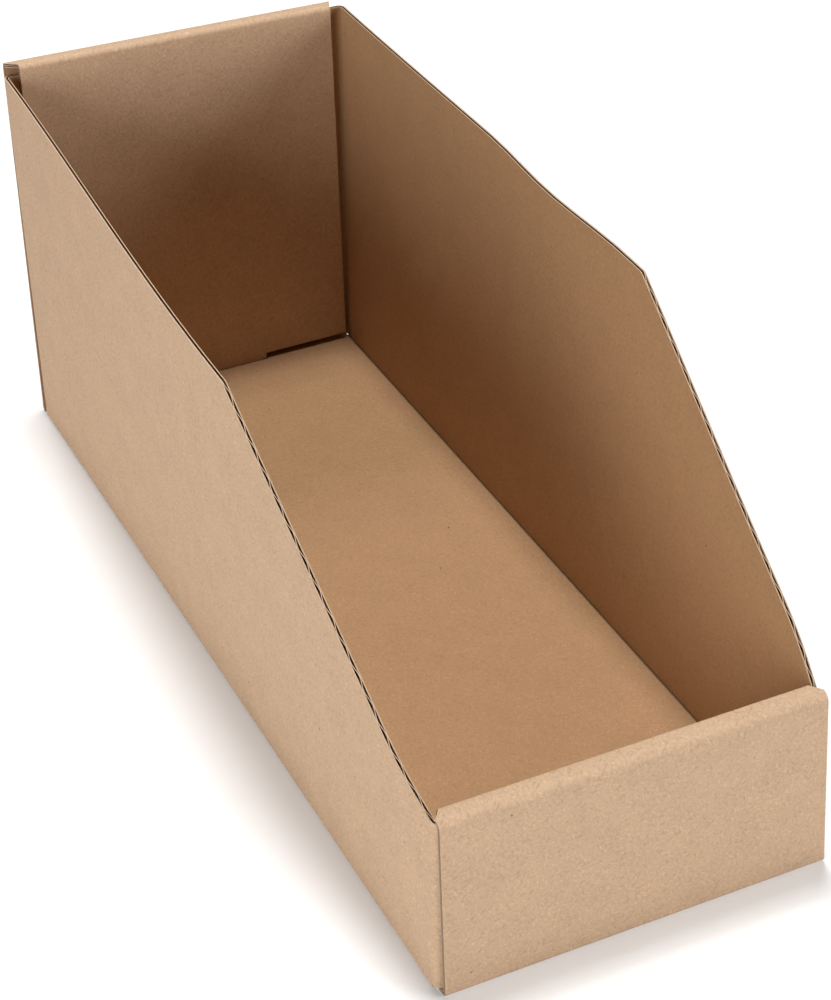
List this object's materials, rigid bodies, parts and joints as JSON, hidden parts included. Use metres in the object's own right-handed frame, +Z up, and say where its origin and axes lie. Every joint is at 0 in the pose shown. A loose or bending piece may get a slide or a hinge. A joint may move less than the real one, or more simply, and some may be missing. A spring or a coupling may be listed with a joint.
{
  "type": "cardboard storage bin",
  "caption": "Open-top kraft corrugated bin for shelf storage, with a low front, side walls that slope down to it, and end walls rolled over tucked-in corner flaps.",
  "frame": {"origin": "middle of the floor's underside", "axes": "+X to the right as seen from the front, +Y from the low front wall to the tall back wall, +Z up"},
  "size_m": [0.1108, 0.28, 0.1157],
  "materials": {
    "kraft_board": "uncoated kraft liner, matt, with fine fibres"
  },
  "bodies": {
    "root": {"folded_blank": "kraft_board"}
  },
  "joints": []
}
